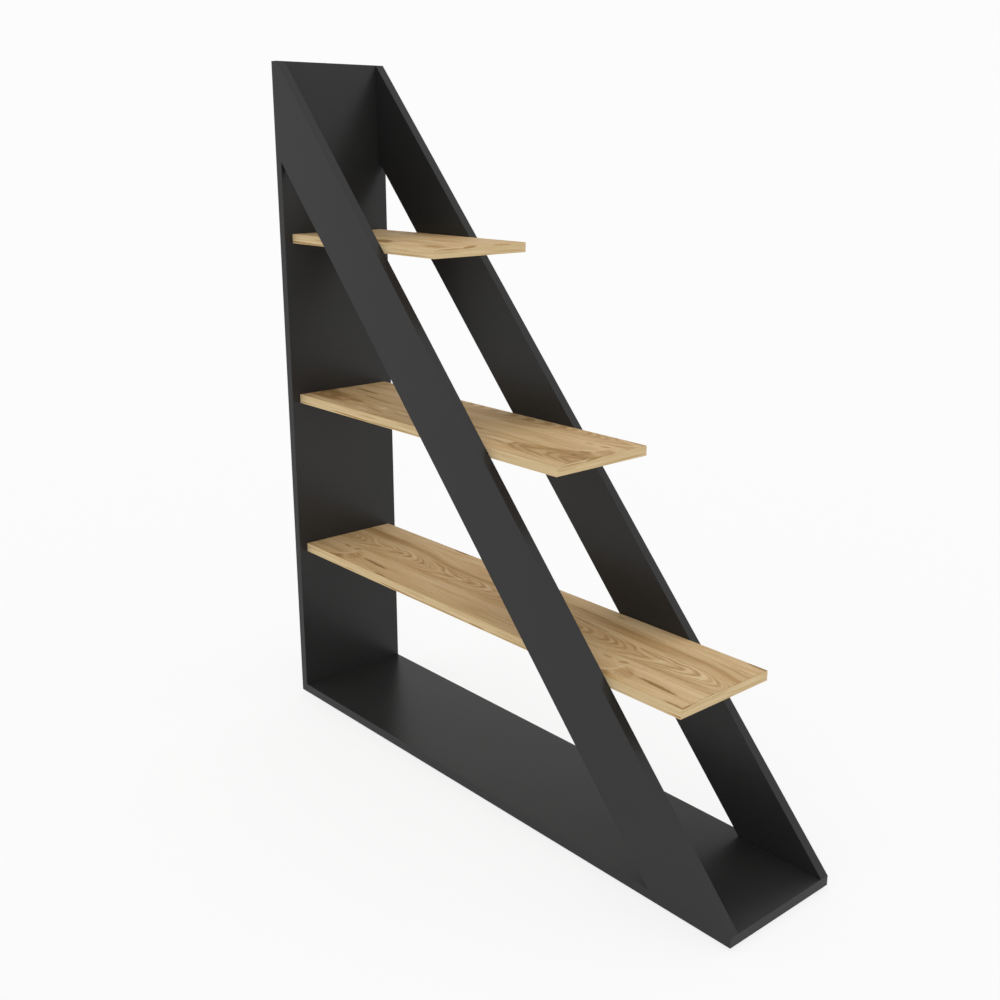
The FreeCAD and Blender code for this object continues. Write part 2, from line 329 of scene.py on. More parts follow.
# %% Black melamine
black = colour(62, 62, 62)
pearl_share = 0.55               # how much of the surface mirrors as metal does
black_roughness = 0.31
pearl_size = 0.55 * mm
pearl_depth = 0.006 * mm
cloud_size = 1 / 9               # in metres
black_spread = 0.07              # how far the pearl and the clouds take its colour either way


def black_paper(paint, place):
    """Colour, roughness and normal of the black finish."""
    pearl = paint.noise(place, scale=1 / pearl_size, detail=1.0)
    cloud = paint.noise(place, scale=1 / cloud_size, detail=2.0)
    tone = cloud * 0.35 + pearl * 0.3 + 0.5
    low = opaque(times(1 - black_spread, black))
    high = opaque(times(1 + black_spread, black))
    roughness = cloud * 0.05 + pearl * 0.04 + black_roughness
    return paint.blend(tone, low, high), roughness, paint.bump(pearl, pearl_depth)


def make_black_board(name, thickness_axis):
    paint = Paint(name)
    place = paint.place()
    paper, roughness, normal = black_paper(paint, place)
    face = faces_along(paint, thickness_axis)
    tint = paint.blend(face, chips(paint, place), paper)
    rough = face * (roughness - chip_roughness) + chip_roughness
    return paint.finish(Base_Color=tint, Metallic=face * pearl_share, Roughness=rough, Specular_IOR_Level=0.0,
                        Normal=normal)


def make_black_band(name):
    paint = Paint(name)
    paper, roughness, normal = black_paper(paint, paint.place())
    return paint.finish(Base_Color=paper, Metallic=pearl_share, Roughness=roughness, Specular_IOR_Level=0.0,
                        Normal=normal)


black_upright = make_black_board("black_upright_board", 0)
black_diagonal = make_black_board("black_diagonal_board", 1)
black_base = make_black_board("black_base_board", 2)
black_band = make_black_band("black_edge_band")
print("the black is", [round(level, 4) for level in black])

# %% [markdown]
# The oak decor. It is a printed sheet whose figure comes round again every 770 mm, and the boards are
# cut from it at different places, so the same arches and knot turn up on each shelf, moved along. So the
# figure is drawn once, in millimetres on the sheet: u runs along the grain and v across it. What
# the sheet shows is a darkness from 0, pale sapwood, to 1, the darkest mark, and a ramp of
# four wood tones colours it at the end. Every feature that the eye picks out has its place in a list, and
# noise drawn out along the grain fills in between.

# %% The sheet's size, tones and repeat
repeat_mm = 770.0
oak_tones = ((0.0, colour(221, 197, 157)),
             (0.35, colour(205, 176, 132)),
             (0.7, colour(173, 140, 95)),
             (1.0, colour(149, 118, 76)))
oak_ruddy = colour(190, 138, 84)
oak_gloss = 0.05
oak_roughness = 0.62


def around(paint, along, middle):
    """How far a place along the sheet is from middle, the short way round the repeat."""
    half = repeat_mm / 2
    return paint.math("WRAP", along - middle, half, -half)


def streaks(paint, along, across, length, width, layer, detail=2.0):
    """Noise drawn out along the grain, in marks about length by width millimetres.

    Each layer of the noise has other marks, so two sets of streaks never fall on each other.
    """
    where = paint.vector(along / length, across / width, layer)
    return paint.noise(where, detail=detail)


print("the figure comes round every", repeat_mm, "mm")

# %% [markdown]
# Arches. Where a saw cuts a trunk off its middle, the rings show as arches nested along a line, the
# cathedrals. A ring here is named by the place of its tip on that line, and a curve gives each ring its
# tone: up for the dark late wood, down for the pale ridges between. Off the line a ring bends back
# along the grain, first slowly and then fast, so its tip is blunt and its legs run on nearly level.

# %% Arches
# Each ring: where its tip is along the repeat, and its tone from -1, pale, to 1, dark
ring_tones = ((0, 0.2), (10, 0.3), (20, 0.7), (31, -0.2), (43, 0.9), (54, -0.2), (65, 0.8), (78, 0.0),
              (98, 0.1), (116, 0.8), (126, 0.2), (138, -0.2), (147, -0.7), (156, -0.2), (172, 0.1),
              (184, 0.8), (192, 0.1), (199, -0.5), (216, 1.0), (229, -1.0), (238, -0.4), (246, 0.6),
              (254, -0.4), (265, 1.0), (272, 0.0), (277, 0.4), (284, -0.2), (292, 0.5), (299, 0.0),
              (307, 0.5), (322, -0.4), (342, 0.1), (363, 0.7), (374, 0.1), (381, -0.2), (389, -0.7),
              (397, -0.2), (408, 0.0), (425, 0.8), (432, 0.1), (440, -0.5), (453, 1.0), (467, -0.8),
              (486, 0.5), (500, -0.3), (530, 0.5), (550, -0.3), (568, 0.3), (588, 0.7), (606, -0.4),
              (632, 0.8), (650, -0.4), (668, 0.3), (688, 0.8), (704, -0.5), (721, 0.9), (734, -0.2),
              (748, 0.9), (759, 0.0), (770, 0.2))
# Where the line of the tips lies across the sheet
arch_line_mm = ((0, 105), (44, 108), (70, 110), (118, 110), (147, 103), (187, 102), (218, 101),
                (247, 104), (290, 109), (320, 110), (363, 112), (390, 107), (427, 104), (454, 103),
                (620, 108), (700, 106), (770, 103))
arch_line_top_mm = 150.0
# Where tips are sharp, from 0, blunt, to 1
sharp_tips_mm = ((0, 0), (66, 0), (92, 1), (160, 1), (196, 0), (308, 0), (340, 1), (405, 1), (430, 0),
                 (770, 0))
# How far off the line the legs run level, how far they have bent back by there, how fast they do so,
# and how much further the legs of a sharp tip lean
leg_height_above_mm = 24.0
leg_height_below_mm = 22.0
leg_bend_above_mm = 74.0
leg_bend_below_mm = 52.0
leg_power_above = 2.1
leg_power_below = 1.8
sharp_lean_above_mm = 34.0
sharp_lean_below_mm = 20.0
# Length, width and layer of the noises that sway the line, ripple the tips and draw the hairs
line_sway = (90.0, 30.0, 3.1)
tip_ripple = (34.0, 16.0, 6.4)
hair_streaks = (45.0, 1.0, 2.6)
hair_pitch_mm = 6.0


def along_repeat(paint, u, points, top):
    """A height that changes along the repeat, from a curve through points, up to top."""
    along = paint.math("WRAP", u, repeat_mm, 0.0) / repeat_mm
    shares = [(place / repeat_mm, height / top) for place, height in points]
    return paint.add("ShaderNodeFloatCurve", {"curve": shares}, {"Value": along}) * top


def arches(paint, u, v):
    """The tone of the arches, how much they show, and the fine hairs that follow them."""
    line = along_repeat(paint, u, arch_line_mm, arch_line_top_mm)
    off_line = v - line + streaks(paint, u, v, *line_sway) * 2.0
    above = paint.math("MAXIMUM", -off_line, 0.0) / leg_height_above_mm
    below = paint.math("MAXIMUM", off_line, 0.0) / leg_height_below_mm
    sharp = along_repeat(paint, u, sharp_tips_mm, 1.0)
    bend_above = paint.math("POWER", above, leg_power_above) * leg_bend_above_mm
    bend_below = paint.math("POWER", below, leg_power_below) * leg_bend_below_mm
    lean_above = paint.fade(above, 0.08, 0.32) * sharp * sharp_lean_above_mm
    lean_below = paint.fade(below, 0.0, 0.6) * sharp * sharp_lean_below_mm
    tip = u + (bend_above + lean_above) + (bend_below + lean_below) + streaks(paint, u, v, *tip_ripple) * 5.0
    raised = [(place, tone / 2 + 0.5) for place, tone in ring_tones]
    tone = along_repeat(paint, tip, raised, 1.0) * 2.0 - 1.0
    hairs = streaks(paint, u, tip / hair_pitch_mm, *hair_streaks) * paint.fade(above + below, 0.9, 0.3)
    show = paint.fade(above, 1.2, 0.85) * paint.fade(below, 1.5, 0.8)
    return tone * (1.0 - paint.fade(below, 0.1, 0.7) * 0.25), show, hairs


print(len(ring_tones), "places along the repeat have a ring's tone")

# %% [markdown]
# The brown band. Beside the arches a wide dark streak runs the length of the sheet. It swings towards
# the arches and away again, so its middle follows a curve along the repeat, and so does its width.

# %% Brown band
# Where the streak lies across the sheet
band_path_mm = ((0, 51), (90, 54), (150, 54), (195, 56), (240, 62), (290, 72), (340, 77), (440, 75),
                (520, 64), (600, 44), (680, 45), (770, 51))
band_path_top_mm = 100.0
band_width_mm = ((0, 14), (110, 13), (200, 10), (330, 8), (520, 8), (640, 10), (720, 14), (770, 14))
band_width_top_mm = 20.0
band_waver = (90.0, 5.0, 7.7)    # length, width and layer of the noise that makes its edge uneven
# Where the streak is fainter: middle along the repeat, reach on either side, and by how much
faint_stretches_mm = ((330.0, 240.0, 0.35), (660.0, 85.0, 0.5))


def brown_band(paint, u, v):
    """How much of the dark streak shows: sharp on its upper side, soft below."""
    path = along_repeat(paint, u, band_path_mm, band_path_top_mm)
    width = along_repeat(paint, u, band_width_mm, band_width_top_mm)
    waver = streaks(paint, u, v, *band_waver) * 4.0
    off_path = (v - path + waver) / width
    above = paint.fade(off_path, -0.9, -0.2)
    below = paint.fade(off_path, 1.9, -0.1)
    strength = 1.0
    for middle_u, reach, loss in faint_stretches_mm:
        strength = strength - paint.hump(around(paint, u, middle_u), 0.0, reach) * loss
    return above * below * strength, path


print("the band wanders from", min(h for _, h in band_path_mm), "to", max(h for _, h in band_path_mm), "mm")

# %% [markdown]
# Marks, the knot and the eddy. Short dark dashes are bark pockets and worm tracks in the printed wood:
# each is a long thin ellipse with a ragged edge. Below them a branch once left the trunk, and
# the grain flows round it: a dark peak, a pale ridge beside it, and a long dark eddy whose arcs
# open to the right.
# One wide, faint mark among them is painted shade, not wood.

# %% Marks, knot and eddy
# Each mark: middle along and across, half its length, half its height, how far its right end lies below
# its middle, and how dark it is, or how pale below 0
marks_and_painted_shade_mm = ((266, 3, 25, 3.8, 1, 0.6), (737, 15, 10, 3.0, 1, 0.4), (69, 156, 12, 3.4, 1, 0.4),
            (103, 154, 10, 5.2, -3, 0.4), (134, 172, 15, 3.8, 5, 0.14), (204, 180, 44, 4.4, 3, 0.6),
            (262, 211, 20, 3.0, 1, 0.45), (312, 216, 44, 4.0, 4, 0.25), (104, 231, 4, 8.0, 0, 0.3),
            # The last mark on the next line is painted shade, darkening the lower shelf's front beside the
            # upright.
            (132, 181, 20, 22.0, 8, 0.13), (104, 207, 13, 6.0, 0, 0.15), (30, 205, 60, 12.0, 0, 0.07),
            (690, 38, 55, 1.6, 2, 0.2), (75, 40, 60, 1.5, 1, 0.14), (712, 77, 58, 3.2, 5, 0.27),
            (631, 112, 18, 9.0, 3, 0.05), (310, 35, 90, 2.2, 0, 0.16), (20, 34, 14, 2.0, 0, 0.16),
            (166, 113, 12, 3.0, -3, 0.2), (547, 472, 36, 17.0, 16, 0.6), (560, 460, 30, 7.0, 0, 0.15),
            (709, 475, 40, 17.0, 10, 0.26), (628, 387, 48, 13.0, 0, 0.16), (354, 311, 10, 5.0, 0, 0.3),
            (402, 306, 12, 5.0, 0, 0.3), (614, 438, 72, 6.0, 3, 0.2), (622, 472, 44, 15.0, 8, -0.16),
            (514, 320, 130, 14.0, 0, 0.12), (484, 367, 90, 14.0, 10, -0.1),
            (604, 412, 110, 9.0, 6, -0.12), (650, 141, 60, 8.0, -6, 0.2), (615, 222, 20, 4.0, 2, 0.28),
            (708, 250, 38, 8.0, 1, -0.25), (722, 262, 50, 3.0, 9, 0.22), (695, 238, 60, 4.0, -3, 0.12),
            (34, 281, 66, 4.2, 9, 0.2))
# The frayed grain to the right of the eddy, in the same six numbers
tail_marks_mm = ((268, 250, 28, 9.0, 2, 0.3), (325, 256, 28, 3.0, 3, 0.25), (355, 272, 48, 3.4, 9, 0.22),
                 (272, 269, 15, 4.0, 2, -0.2), (368, 254, 9, 9.0, 2, -0.28),
                 (337, 286, 24, 6.0, 3, -0.18), (430, 254, 24, 5.0, 3, -0.2),
                 (440, 264, 44, 3.0, 4, 0.18))
knot_u_mm = 108.0                # where the dark peak's tip is along the sheet
knot_tip_v_mm = 193.0            # and across it
knot_spread = 2.1                # how much wider the peak gets for each millimetre down
# The ridge's path: places across the sheet, and where along it the ridge is there
ridge_path_mm = ((150, 112), (162, 113), (178, 112), (190, 105), (200, 92), (208, 80), (225, 66))
ridge_first_mm = 150.0           # where it starts across the sheet, and how far down it runs
ridge_length_mm = 75.0
ridge_top_mm = 150.0
ridge_half_width_mm = 8.0
eddy_line_mm = 254.0
eddy_half_height_mm = 26.0
eddy_first_mm = -30.0
eddy_length_mm = 340.0
eddy_heart_mm = (222.0, 90.0)    # middle of its darkest stretch from the first arc's tip, and its reach
eddy_swirl = (26.0, 9.0, 5.9)    # length, width and layer of the noise in its arcs
eddy_arcs_mm = (0, 27, 86, 122, 170, 208, 262, 300, 340)    # from the first arc's tip


def mark(paint, u, v, middle_u, middle_v, half_length, half_height, fall, ragged):
    """How much of one dark mark shows."""
    off_u = around(paint, u, middle_u) / half_length
    off_v = (v - middle_v - off_u * fall) / half_height
    return paint.fade(off_u * off_u + off_v * off_v + ragged, 1.3, 0.45)


def knot(paint, u, v, ragged):
    """The dark peak above the eddy, and the pale ridge that comes down on its left."""
    side = around(paint, u, knot_u_mm)
    depth = v - knot_tip_v_mm
    reach = abs(side) / knot_spread - depth + ragged * 6.0
    peak = paint.fade(reach, 3.0, -11.0) * paint.fade(depth, 60.0, 26.0)
    peak = peak * (paint.hump(side, 6.0, 14.0) * 0.25 + 0.75)
    down = (v - ridge_first_mm) / ridge_length_mm
    bends = [((across - ridge_first_mm) / ridge_length_mm, along / ridge_top_mm)
             for across, along in ridge_path_mm]
    bend = paint.add("ShaderNodeFloatCurve", {"curve": bends}, {"Value": down}) * ridge_top_mm
    ridge = paint.hump(side + knot_u_mm - bend, 0.0, ridge_half_width_mm) * paint.hump(down, 0.5, 0.55)
    return peak, ridge


def eddy(paint, u, v, ragged):
    """How dark the eddy is."""
    off_line = (v - eddy_line_mm) / eddy_half_height_mm
    half = eddy_length_mm / 2
    inward = around(paint, u, eddy_first_mm + half) + half
    along = inward / eddy_length_mm
    arcs = [(place / eddy_length_mm, count / len(eddy_arcs_mm)) for count, place in enumerate(eddy_arcs_mm)]
    count = paint.add("ShaderNodeFloatCurve", {"curve": arcs}, {"Value": along}) * len(eddy_arcs_mm)
    swirl = streaks(paint, u, v, *eddy_swirl) * 0.45
    off_arc = off_line * off_line * 1.7
    level = count - off_arc + swirl
    ring = paint.math("FRACT", level)
    rings = paint.fade(ring, 0.0, 0.12) * paint.fade(ring, 0.75, 0.25)
    show = paint.fade(level, 0.0, 0.25) * paint.fade(abs(off_line), 1.35, 0.75)
    show = show * paint.fade(inward, eddy_length_mm, eddy_length_mm * 0.65)
    heart = paint.hump(inward, *eddy_heart_mm)
    return show * (rings * 0.26 + heart * 0.26 + 0.16)


print(len(marks_and_painted_shade_mm) + len(tail_marks_mm), "marks, one knot and one eddy")

# %% [markdown]
# The oak material. It adds the features up into one darkness, adds streaks of four lengths, and turns
# the sum into wood tones. The streaks follow the brown band's swing, as real grain does. Shelves differ in
# where they are cut from the sheet, and the underside of each board has a place of its own. The top
# shelf is seen too flat to tell where it was cut, so its place is a guess.
# One pale area among the features is painted light on the lower shelf's rear, not wood.

# %% Oak material
under_shift_mm = (310.0, 60.0)
plain_darkness = 0.37            # what the sheet has before anything is added
# Streaks of the wood: length, width, layer and detail of each noise
broad_streaks = (240.0, 24.0, 0.0, 2.0)
long_streaks = (130.0, 6.0, 1.7, 3.0)
fine_streaks = (50.0, 1.5, 4.2, 3.0)
short_streaks = (9.0, 1.3, 8.1, 2.0)
patchy_streaks = (40.0, 10.0, 9.9, 2.0)
ruddy_streaks = (120.0, 9.0, 12.7, 2.0)
ragged_streaks = (5.0, 2.2, 11.3, 2.0)
pore_streaks = (7.0, 0.5, 8.8, 2.0)
pore_depth = 0.02 * mm
# How much each feature adds to the darkness
strengths = {"broad": 0.26, "long": 0.3, "fine": 0.17, "short": 0.22, "hairs": 0.22, "band": 0.36,
             "peak": 0.45, "ridge": -0.27}
# Pale and dark strips that run along the sheet: middle across, reach, and how dark, or pale below 0
strips_mm = ((16.0, 24.0, -0.1), (158.0, 22.0, -0.12), (134.0, 14.0, 0.07))
# Painted light: it lifts the shade along the lower shelf's rear, where the rear diagonal crosses and by the
# upright.
# A pale area of painted light: middle along the sheet and reach, middle across it and reach, how pale
painted_light_patch_mm = (15.0, 110.0, 18.0, 28.0, -0.16)


def oak_figure(paint, u, v):
    """The darkness of the sheet at a place, and how ruddy it is."""
    ragged = streaks(paint, u, v, *ragged_streaks) * 0.8
    band, path = brown_band(paint, u, v)
    near_band = paint.fade(abs(v - path), 60.0, 10.0)
    flow = v - (path - 60.0) * near_band
    ring_tone, arch_show, hairs = arches(paint, u, v)
    peak, ridge = knot(paint, u, v, ragged)
    calm = 1.0 - arch_show * 0.6
    fine = streaks(paint, u, flow, *fine_streaks)
    dark = plain_darkness + streaks(paint, u, flow, *broad_streaks) * strengths["broad"]
    dark = dark + streaks(paint, u, flow, *long_streaks) * strengths["long"] * calm
    dark = dark + fine * strengths["fine"] * calm
    dark = dark + streaks(paint, u, v, *short_streaks) * strengths["short"]
    dark = dark + hairs * arch_show * strengths["hairs"]
    for middle_v, reach, strength in strips_mm:
        dark = dark + paint.hump(v, middle_v, reach) * strength
    # Painted light: a pale area that lifts the shade at the lower shelf's rear.
    middle_u, reach_u, middle_v, reach_v, strength = painted_light_patch_mm
    painted_light = paint.hump(v, middle_v, reach_v) * paint.hump(around(paint, u, middle_u), 0.0, reach_u)
    dark = dark + painted_light * strength
    patchy = streaks(paint, u, v, *patchy_streaks) * 0.15 + 0.3
    dark = dark + band * strengths["band"] + arch_show * ring_tone * patchy
    dark = dark + peak * strengths["peak"] + ridge * strengths["ridge"] + eddy(paint, u, v, ragged)
    # The wood's marks, with one among them that is painted shade.
    for middle_u, middle_v, half_length, half_height, fall, strength in marks_and_painted_shade_mm + tail_marks_mm:
        shown = mark(paint, u, v, middle_u, middle_v, half_length, half_height, fall, ragged)
        dark = dark + shown * strength
    ruddy = streaks(paint, u, flow, *ruddy_streaks) * 0.5 + fine * 0.25 + 0.05
    return dark, ruddy * paint.fade(dark, 1.0, 0.65)


def sheet_place(paint, corner, cut_mm):
    """A point of a shelf, and where it is on the sheet. The shelf's left rear corner is at corner."""
    place = paint.place()
    to_sheet = {"Vector": place, "Scale": (1 / mm, -1 / mm, 1 / mm),
                "Location": (cut_mm[0] - corner[0] / mm, cut_mm[1] + corner[1] / mm, 0.0)}
    u, v, _ = paint.parts(paint.add("ShaderNodeMapping", None, to_sheet))
    return place, u, v


def make_oak_board(name, corner, cut_mm):
    paint = Paint(name)
    place, u, v = sheet_place(paint, corner, cut_mm)
    normal = paint.parts(paint.add("ShaderNodeNewGeometry", out="Normal"))
    under = paint.math("LESS_THAN", normal[2], -0.5)
    dark, ruddy = oak_figure(paint, u + under * under_shift_mm[0], v + under * under_shift_mm[1])
    tones = paint.add("ShaderNodeValToRGB", {"stops": oak_tones}, {"Fac": dark})
    tones = paint.blend(paint.math("MAXIMUM", ruddy, 0.0), tones, opaque(oak_ruddy))
    face = faces_along(paint, 2)
    tint = paint.blend(face, chips(paint, place), tones)
    pores = streaks(paint, u, v, *pore_streaks)
    rough = face * (pores * 0.05 + oak_roughness - chip_roughness) + chip_roughness
    return paint.finish(Base_Color=tint, Roughness=rough, Specular_IOR_Level=oak_gloss,
                        Normal=paint.bump(pores, pore_depth))


shelf_cuts_mm = {"lower_shelf": (0.0, 0.0), "middle_shelf": (142.0, 91.0), "top_shelf": (284.0, 292.0)}
oak_boards = {}
for shelf, cut in shelf_cuts_mm.items():
    low_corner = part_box(shelf)[0]
    rear_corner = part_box(shelf + "_rear_band")[1]
    oak_boards[shelf] = make_oak_board(shelf + "_oak", (low_corner.x, rear_corner.y), cut)
print("oak boards:", ", ".join(oak_boards))

# %% [markdown]
# Oak edge bands. A band is cut from plain, straight-grained sheet, and its grain runs along the edge
# that it covers: along the shelf on the long edges, and across it at the free end. So each shelf has two
# band materials, one for each way the grain runs. The long bands of all shelves show one strip of
# sheet, moved along by as much as their shelf is, and each end band has marks of its own. A band's own
# cut edge, which shows as a thin line along the top of the shelf, is a shade browner.

# %% Oak edge bands
band_tones = ((0.0, colour(219, 196, 155)),
              (0.5, colour(205, 179, 135)),
              (1.0, colour(170, 135, 88)))
band_plain_darkness = 0.38
# Length, width, layer and detail of the noises that sway the grain, draw its streaks and fray its marks
band_sway = (90.0, 30.0, 2.0, 2.0)
band_long_streaks = (160.0, 4.2, 5.0, 2.0)
band_fine_streaks = (50.0, 1.3, 9.0, 3.0)
band_ragged_streaks = (6.0, 1.2, 3.3, 2.0)
long_cut_tone = colour(168, 131, 85)
end_cut_tone = colour(112, 82, 46)


def make_oak_band(name, shelf, grain_axis, cut_mm, cut_tone, marks):
    paint = Paint(name)
    low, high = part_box(shelf)
    place = paint.parts(paint.place())
    along = (place[grain_axis] - low[grain_axis]) / mm + cut_mm
    depth = (high.z - place[2]) / mm
    across = depth + streaks(paint, along, depth, *band_sway) * 2.5
    dark = band_plain_darkness + streaks(paint, along, across, *band_long_streaks) * 0.7
    dark = dark + streaks(paint, along, across, *band_fine_streaks) * 0.35
    dark = dark - paint.hump(across, 12.0, 3.5) * 0.15
    ragged = streaks(paint, along, depth, *band_ragged_streaks) * 0.6
    for middle_along, middle_depth, half_length, half_height, fall, strength in marks:
        shown = mark(paint, along, depth, middle_along, middle_depth, half_length, half_height, fall, ragged)
        dark = dark + shown * strength
    tones = paint.add("ShaderNodeValToRGB", {"stops": band_tones}, {"Fac": dark})
    tones = paint.blend(faces_along(paint, 2) * 0.9, tones, opaque(cut_tone))
    pores = streaks(paint, along, depth, *pore_streaks)
    return paint.finish(Base_Color=tones, Roughness=pores * 0.05 + oak_roughness,
                        Specular_IOR_Level=oak_gloss, Normal=paint.bump(pores, pore_depth))


# The marks are given as on the sheet, with the way down from the shelf's top in place of the way across
long_marks_mm = ((381, 7.0, 36, 1.6, 0, 0.32), (322, 15.0, 62, 1.8, 1, 0.75),
                 (340, 12.0, 100, 1.8, 1, -0.25), (565, 15.6, 24, 1.6, 0, 1.2),
                 (643, 7.4, 32, 1.4, 0, 0.3), (664, 15.3, 70, 1.3, 0, 0.5),
                 (445, 15.7, 110, 1.1, 0, 0.5), (30, 7.0, 30, 2.4, 0, 0.1), (163, 14.6, 20, 1.4, 0, 0.3))
end_marks_mm = {
    "lower_shelf": ((10, 1.3, 14, 1.5, 0, 0.7), (24, 1.5, 18, 1.1, 0, 0.4), (92, 2.8, 22, 1.8, -1, 0.25),
                    (160, 11.5, 55, 1.5, 1, 0.4), (150, 6.0, 50, 3.0, 0, -0.3)),
    "middle_shelf": ((84, 1.7, 20, 1.8, -1, 0.9), (112, 1.2, 24, 1.0, 0, 0.5), (30, 3.0, 34, 1.1, 0, 0.5),
                     (24, 9.8, 24, 1.2, 0, 0.45), (150, 13.0, 60, 2.4, 0, 0.25)),
    "top_shelf": ((80, 1.8, 17, 1.8, -1, 1.1), (158, 1.7, 24, 1.3, 1, 0.5), (32, 3.2, 34, 1.1, 0, 0.5),
                  (35, 9.3, 34, 1.2, 0, 0.45), (165, 12.0, 50, 1.5, 1, 0.4))}
oak_long_bands = {}
oak_end_bands = {}
for shelf, cut in shelf_cuts_mm.items():
    oak_long_bands[shelf] = make_oak_band(shelf + "_long_band_oak", shelf, 0, cut[0], long_cut_tone,
                                          long_marks_mm)
    oak_end_bands[shelf] = make_oak_band(shelf + "_end_band_oak", shelf, 1, 0.0, end_cut_tone,
                                         end_marks_mm[shelf])
print("oak bands:", len(oak_long_bands), "along x and", len(oak_end_bands), "along y")

# %% [markdown]
# Each board of the frame takes its material here, and keeps the mesh that the CAD model gave it.

# %% Boards take their materials
board_finishes = {"upright_panel": black_upright, "base_panel": black_base,
                  "front_diagonal": black_diagonal, "rear_diagonal": black_diagonal, **oak_boards}


def dress(node, material):
    """Gives every slot of a carried-over piece this material."""
    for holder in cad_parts[node].material_slots:
        holder.material = material


for node, finish in board_finishes.items():
    dress(node, finish)
print(len(board_finishes), "boards dressed")

# %% [markdown]
# Softened bands. After a band is glued on and trimmed, its two long arrises are scraped to a small
# radius, which catches the light as a thin line. The CAD bands are sharp, so each is copied here, and the
# arrises of its outer face are bevelled. The outer face is the one that looks away from its board.

# %% Softened edge bands
arris_mm = 0.35
arris_steps = 3
same_way = 0.99                  # how nearly two directions agree, as the cosine between them
same_spot = 0.001 * mm           # corners this near each other are one corner
flat_angle = math.radians(0.5)   # faces that meet at less than this lie in one plane
most_corners = 4                 # faces with more are cut into triangles


def joined_copy(node):
    """The node's mesh in an editable form, with its split corners joined again."""
    shape = bmesh.new()
    shape.from_mesh(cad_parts[node].data)
    bmesh.ops.remove_doubles(shape, verts=shape.verts, dist=same_spot)
    return shape


def new_piece(name, shape, material, slot_name, *nodes):
    """Makes a finished piece that rides on the body and stands for these CAD nodes."""
    bmesh.ops.recalc_face_normals(shape, faces=shape.faces)
    mesh = bpy.data.meshes.new(name)
    shape.to_mesh(mesh)
    shape.free()
    mesh.materials.clear()
    mesh.materials.append(material)
    piece = bpy.data.objects.new(name, mesh)
    bpy.context.scene.collection.objects.link(piece)
    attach(piece, "root")
    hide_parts(*nodes)
    return piece


def board_of(band):
    """The board that a band is glued to."""
    boards = [board for board in board_finishes if band.startswith(board.removesuffix("_panel"))]
    return max(boards, key=len)


def middle(node):
    low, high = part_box(node)
    return (low + high) / 2


def soften_band(band, material, slot_name):
    """Copies a band, and rounds the long arrises of its outer face."""
    shape = joined_copy(band)
    bmesh.ops.dissolve_limit(shape, angle_limit=flat_angle, verts=shape.verts, edges=shape.edges)
    board = board_of(band)
    low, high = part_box(board)
    thickness_axis = min(range(3), key=lambda axis: (high - low)[axis])
    outward = max(shape.faces, key=lambda face: face.calc_area()).normal.copy()
    if outward.dot(middle(band) - middle(board)) < 0:
        outward.negate()
    low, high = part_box(band)
    ends = (low[thickness_axis], high[thickness_axis])
    arrises = []
    for edge in shape.edges:
        at_end = any(all(abs(vert.co[thickness_axis] - end) < arris_mm * mm / 10 for vert in edge.verts)
                     for end in ends)
        outer = any(face.normal.dot(outward) > same_way for face in edge.link_faces)
        side = any(abs(face.normal[thickness_axis]) > same_way for face in edge.link_faces)
        if at_end and outer and side:
            arrises.append(edge)
    bmesh.ops.bevel(shape, geom=arrises, offset=arris_mm * mm, segments=arris_steps, profile=0.5,
                    affect="EDGES", clamp_overlap=True)
    wide_faces = [face for face in shape.faces if len(face.verts) > most_corners]
    bmesh.ops.triangulate(shape, faces=wide_faces)
    return new_piece("soft_" + band, shape, material, slot_name, band), len(arrises)


band_nodes = [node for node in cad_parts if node.endswith("_band")]
for node in band_nodes:
    if "shelf" in node:
        oak_bands = oak_end_bands if node.endswith("end_band") else oak_long_bands
        piece, arris_count = soften_band(node, oak_bands[board_of(node)], "oak_edge")
    else:
        piece, arris_count = soften_band(node, black_band, "black_edge")
    print(piece.name, "has", arris_count, "softened edges and", len(piece.data.polygons), "faces")

# %% [markdown]
# Metals and small wood. The fittings sit in their holes and hardly show, but they are real parts and get
# real finishes: bright zinc on screws and bolts, plain steel on nails, the grey skin of a zinc casting
# on the cams, and pale beech with its short brown flecks on the dowels.

# %% Metal and beech finishes
def make_metal(name, tint, roughness, cloud_mm, pit_mm, pit_depth_mm):
    """A metal with a cloudy plating and fine pits."""
    paint = Paint(name)
    place = paint.place()
    cloud = paint.noise(place, scale=1 / (cloud_mm * mm), detail=3.0)
    pits = paint.noise(place, scale=1 / (pit_mm * mm), detail=2.0)
    shine = paint.blend(cloud * 0.5 + pits * 0.25 + 0.5, opaque(times(0.8, tint)), opaque(times(1.15, tint)))
    rough = cloud * 0.08 + pits * 0.05 + roughness
    return paint.finish(Base_Color=shine, Metallic=1.0, Roughness=rough,
                        Normal=paint.bump(pits, pit_depth_mm * mm))


beech_pale = colour(214, 182, 142)
beech_fleck = colour(156, 112, 74)
fleck_size = 0.9 * mm
fleck_depth = 0.02 * mm


def make_beech(name):
    paint = Paint(name)
    place = paint.place()
    fleck = {"Vector": place, "Scale": 1 / fleck_size, "Randomness": 1.0}
    flecks = paint.add("ShaderNodeTexVoronoi", None, fleck, out="Distance")
    cloud = paint.noise(place, scale=1 / (5.0 * mm), detail=3.0)
    share = paint.fade(flecks, 0.25, 0.05) * 0.7 + cloud * 0.4 + 0.2
    tint = paint.blend(share, opaque(beech_pale), opaque(beech_fleck))
    return paint.finish(Base_Color=tint, Roughness=cloud * 0.05 + 0.7, Specular_IOR_Level=0.3,
                        Normal=paint.bump(flecks, fleck_depth))


